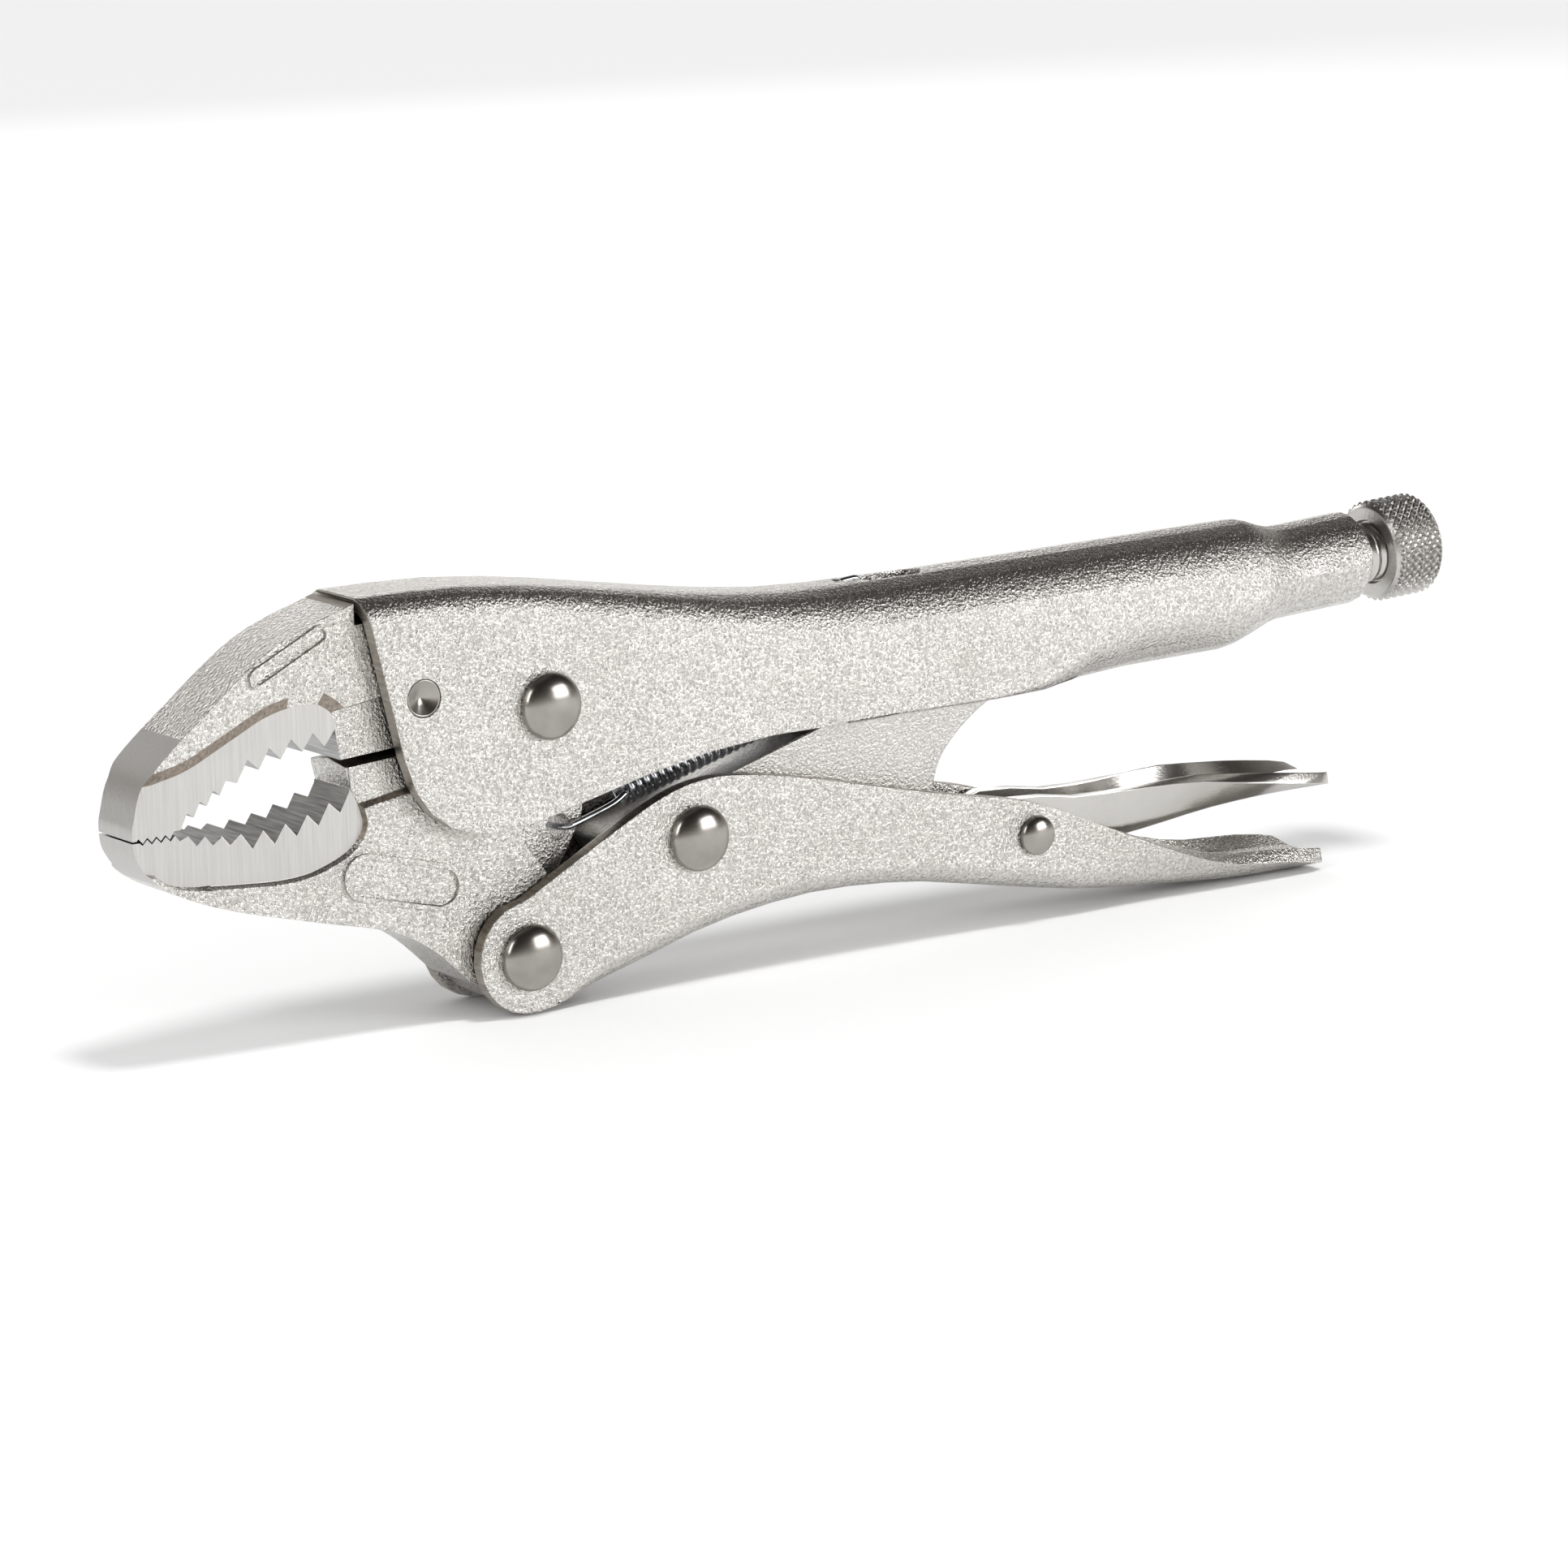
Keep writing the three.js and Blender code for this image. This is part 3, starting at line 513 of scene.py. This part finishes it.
def lower_faces(middle, normal):
    across = abs(normal.y)
    if middle.x < LOWER_GROUND_END and within(abs(middle.y), GROUND_Y) and across > 0.9:
        return GROUND
    if across < 0.3 and normal.z > 0.05 and middle.x < LOWER_TEETH_END:
        return TEETH
    recess_wall = across < 0.85 and within(abs(middle.y), (GROUND_Y[0], FORGED_Y))
    if recess_wall and within(middle.x, LOWER_RECESS_X) and within(middle.z, LOWER_RECESS_Z):
        return BROWN
    if across < 0.4 and normal.z > 0.5 and within(middle.x, THROAT_X) and within(middle.z, THROAT_Z):
        return BROWN
    if across < 0.6 and abs(middle.y) > RING_Y:
        return EDGE
    if across < 0.9 and middle.x < NOSE_BELT - 4:
        return BELTED
    return PEEL


def lower_jaw():
    bm = solid_mesh("lower_jaw")
    round_edges(bm, 0.15, 2, behind_nose)
    finish_piece("lower_jaw", bm, "lower_jaw", [PEEL, GROUND, TEETH, BROWN, BELTED, EDGE], lower_faces)


def lever_faces(middle, normal):
    across = abs(normal.y)
    if across < 0.25 and abs(middle.y) > SHEET_INSIDE and normal.z > 0.2 and middle.x < LEVER_RIM_END:
        return RIM
    if normal.x < -0.3 and across < 0.3:
        return EDGE
    return PEEL


def lever():
    bm = solid_mesh("lever")
    round_edges(bm, 0.35)
    finish_piece("lever", bm, "lever", [PEEL, EDGE, RIM], lever_faces)


def toggle_link():
    bm = solid_mesh("toggle_link")
    round_edges(bm, 0.5, 3)
    finish_piece("toggle_link", bm, "toggle_link", [LINK], lambda middle, normal: LINK)


def release_lever():
    bm = solid_mesh("release_lever")
    round_edges(bm, 0.25)
    finish_piece("release_lever", bm, "release_lever", [SMOOTH], lambda middle, normal: SMOOTH)


# ---------------------------------------------------------------- turned pieces, screw and spring

def grid_mesh(name, rows):
    """A closed skin over rows of points, each row a ring round the piece."""
    bm = bmesh.new()
    rings = [[bm.verts.new(point) for point in row] for row in rows]
    count = len(rings[0])
    for low, high in zip(rings, rings[1:]):
        for i in range(count):
            j = (i + 1) % count
            bm.faces.new((low[i], low[j], high[j], high[i]))
    bm.faces.new(reversed(rings[0]))
    bm.faces.new(rings[-1])
    bmesh.ops.recalc_face_normals(bm, faces=bm.faces)
    for face in bm.faces:
        face.smooth = True
    mesh = bpy.data.meshes.new(name)
    bm.to_mesh(mesh)
    bm.free()
    return mesh


def add_piece(name, mesh, material, body, node):
    mesh.materials.append(material)
    piece = new_object(name, mesh)
    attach(piece, body)
    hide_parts(node)
    return piece


def turned(center, axis, side, profile, count):
    """Rings of a lathe-turned piece: profile gives (distance along the axis, radius) in metres."""
    other = axis.cross(side)
    circle = [2 * math.pi * i / count for i in range(count)]
    return [[center + axis * along + (side * math.cos(a) + other * math.sin(a)) * radius for a in circle]
            for along, radius in profile]


def rivet(node, body, shaft):
    low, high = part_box(node)
    center, head, end = (low + high) / 2, (high.x - low.x) / 2, high.y
    seat = end - 0.57 * head
    rim = 0.12 * head
    dome = []
    for step in range(15):
        angle = math.pi / 2 * step / 14
        dome.append((seat + rim + (end - seat - rim) * math.sin(angle), head * max(math.cos(angle), 0.004)))
    half = [(seat, shaft), (seat, head * 0.965), (seat + rim * 0.3, head * 0.995), *dome]
    profile = [(-along, radius) for along, radius in reversed(half)] + half
    mesh = grid_mesh(node + "_piece", turned(center, Y, X, profile, 64))
    add_piece(node + "_piece", mesh, SHINY, body, node)


def jaw_pin():
    low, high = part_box("jaw_pin")
    center, radius, end = (low + high) / 2, (high.x - low.x) / 2, high.y
    radius += 0.26 * MM
    pit = [(end, radius * 0.97), (end - 0.1 * MM, radius * 0.9), (end - 0.75 * MM, radius * 0.45),
           (end - 1.15 * MM, radius * 0.12), (end - 1.2 * MM, radius * 0.01)]
    half = [(end - 0.15 * MM, radius), *pit]
    profile = [(-along, r) for along, r in reversed(half)] + half
    mesh = grid_mesh("jaw_pin_piece", turned(center, Y, X, profile, 48))
    add_piece("jaw_pin_piece", mesh, SHINY, "handle", "jaw_pin")


SCREW_AXIS = Vector(next(j["axis"] for j in frame["joints"] if j["name"] == "screw_travel")).normalized()
SCREW_START = Vector(PIVOT["knob_turn"])
SCREW_SIDE = Y
PITCH = 1.9
CORE, CREST = 4.35, 4.95
KNOB = {"start": 13.0, "length": 10.0, "radius": 8.5, "chamfer": 1.0, "diamonds": 34}


def wave(phase):
    """Triangle wave from 0 to 1 and back, once per unit of phase."""
    return 1 - abs(phase % 1 * 2 - 1)


def screw_ring(along, radius_at, count):
    other = SCREW_AXIS.cross(SCREW_SIDE)
    ring = []
    for i in range(count):
        angle = 2 * math.pi * i / count
        offset = SCREW_SIDE * math.cos(angle) + other * math.sin(angle)
        ring.append(SCREW_START + (SCREW_AXIS * along + offset * radius_at(along, angle)) * MM)
    return ring


def thread_radius(along, angle):
    """Rounded crests, narrower roots."""
    turn = wave(along / PITCH - angle / (2 * math.pi))
    return CORE + (CREST - CORE) * min(1, 1.25 * turn) ** 0.7


def adjusting_screw():
    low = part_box("adjusting_screw")[0]
    tip = (low.x - SCREW_START.x) / SCREW_AXIS.x / MM + 0.3
    start, end, count = -27.0, KNOB["start"] + 0.9, 48
    shank = [(tip, CORE - 1.3), (tip + 1.3, CORE), (start, CORE)]
    rows = [screw_ring(along, lambda a, b, r=radius: r, count) for along, radius in shank]
    stations = int((end - start) / PITCH * 12)
    for i in range(1, stations + 1):
        rows.append(screw_ring(start + (end - start) * i / stations, thread_radius, count))
    mesh = grid_mesh("adjusting_screw_piece", rows)
    add_piece("adjusting_screw_piece", mesh, SMOOTH, "screw", "adjusting_screw")


def knurl_radius(along, angle):
    """Crossed grooves leave rows of small pyramids; they run out on the chamfers."""
    turns = KNOB["diamonds"] * angle / (2 * math.pi)
    lean = KNOB["diamonds"] * along / (2 * math.pi * KNOB["radius"])
    height = min(wave(turns + lean), wave(turns - lean))
    middle = KNOB["start"] + KNOB["length"] / 2
    inset = abs(along - middle) - (KNOB["length"] / 2 - KNOB["chamfer"])
    return min(KNOB["radius"] - 0.75 + 0.75 * min(1, 1.5 * height), KNOB["radius"] - 0.1 - max(inset, 0))


def screw_knob():
    start, length, count = KNOB["start"], KNOB["length"], KNOB["diamonds"] * 10
    bore, dish = CREST + 0.15, 0.35
    face = KNOB["radius"] - KNOB["chamfer"]

    def plain(along, radius):
        return screw_ring(along, lambda a, b: radius, count)

    rows = [plain(start + 0.8, bore), plain(start, bore + 0.3), plain(start, face - 0.2)]
    stations = 56
    rows += [screw_ring(start + length * (i + 0.5) / stations, knurl_radius, count) for i in range(stations)]
    rows += [plain(start + length, face - 0.3), plain(start + length - dish, face - 1.2),
             plain(start + length - dish, 0.05)]
    mesh = grid_mesh("screw_knob_piece", rows)
    piece = add_piece("screw_knob_piece", mesh, KNURL, "knob", "screw_knob")
    for face_data in piece.data.polygons:
        face_data.use_smooth = False


WIRE_RADIUS = 0.52
COIL = {"turns": 23, "radius": 2.15, "length": 33.0, "angle": 0.274}
FRONT_HOOK = [(4.2, 4.4, -20.2), (4.2, 1, -20.2), (4.2, -2.6, -20.2), (5.2, -4.6, -20), (7.6, -4.5, -19.6),
              (14.5, -2.9, -18.2)]
BACK_HOOK = [(54, -1.2, -4.6), (60.5, 0, 5), (63.4, 0, 9), (63.2, 0, 10.9), (61.6, 0, 11), (59.9, 0, 10.8)]
COIL_START = (17.5, 0, -16.9)
RINGS_PER_TURN = 16


def spring_path():
    """Hook through the lower jaw, close coils, and a hook over the edge of the roof slot."""
    along = X * math.cos(COIL["angle"]) + Z * math.sin(COIL["angle"])
    up = along.cross(-Y)
    steps = COIL["turns"] * RINGS_PER_TURN
    coil = []
    for i in range(steps + 1):
        angle = 2 * math.pi * COIL["turns"] * i / steps
        coil.append(Vector(COIL_START) + along * COIL["length"] * i / steps
                    + (-Y * math.cos(angle) + up * math.sin(angle)) * COIL["radius"])
    return smooth_run(FRONT_HOOK, coil[0], 8) + coil + smooth_run(BACK_HOOK, coil[-1], 8, leading=False)


def smooth_run(points, joint, count, leading=True):
    """A smooth line through the hook's points, on to (or from) the coil's end."""
    points = [Vector(p) for p in points]
    chain = points + [joint] if leading else [joint] + points
    line = []
    for i in range(len(chain) - 1):
        before = chain[max(i - 1, 0)]
        after = chain[min(i + 2, len(chain) - 1)]
        for step in range(count):
            t = step / count
            a, b = chain[i], chain[i + 1]
            line.append(0.5 * (2 * a + (b - before) * t + (2 * before - 5 * a + 4 * b - after) * t * t
                               + (3 * a - before - 3 * b + after) * t ** 3))
    return line[0 if leading else 1:] + ([] if leading else [chain[-1]])


def sweep(path, radius, count):
    """Rings round a path, turned as little as possible from one to the next."""
    rows = []
    tangent = (path[1] - path[0]).normalized()
    side = tangent.orthogonal().normalized()
    for i, point in enumerate(path):
        ahead = path[min(i + 1, len(path) - 1)] - path[max(i - 1, 0)]
        tangent = ahead.normalized()
        side = (side - tangent * side.dot(tangent)).normalized()
        other = tangent.cross(side)
        rows.append([MAIN + (point + (side * math.cos(a) + other * math.sin(a)) * radius) * MM
                     for a in (2 * math.pi * k / count for k in range(count))])
    return rows


def spring():
    mesh = grid_mesh("spring_piece", sweep(spring_path(), WIRE_RADIUS, 10))
    mesh.materials.append(WIRE)
    piece = new_object("spring_piece", mesh)
    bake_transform(piece)
    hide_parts("spring")


handle()
upper_jaw()
lower_jaw()
lever()
toggle_link()
release_lever()
for node, body, shaft in (("jaw_rivet", "handle", 3.2), ("lever_rivet", "lower_jaw", 3.2),
                          ("link_rivet", "lever", 3.2), ("release_rivet", "lever", 2.1)):
    rivet(node, body, shaft * MM)
jaw_pin()
adjusting_screw()
screw_knob()
spring()

# ---------------------------------------------------------------- finish

make_camera()
make_floor()
make_lights()
bpy.context.scene.view_settings.view_transform = "Standard"
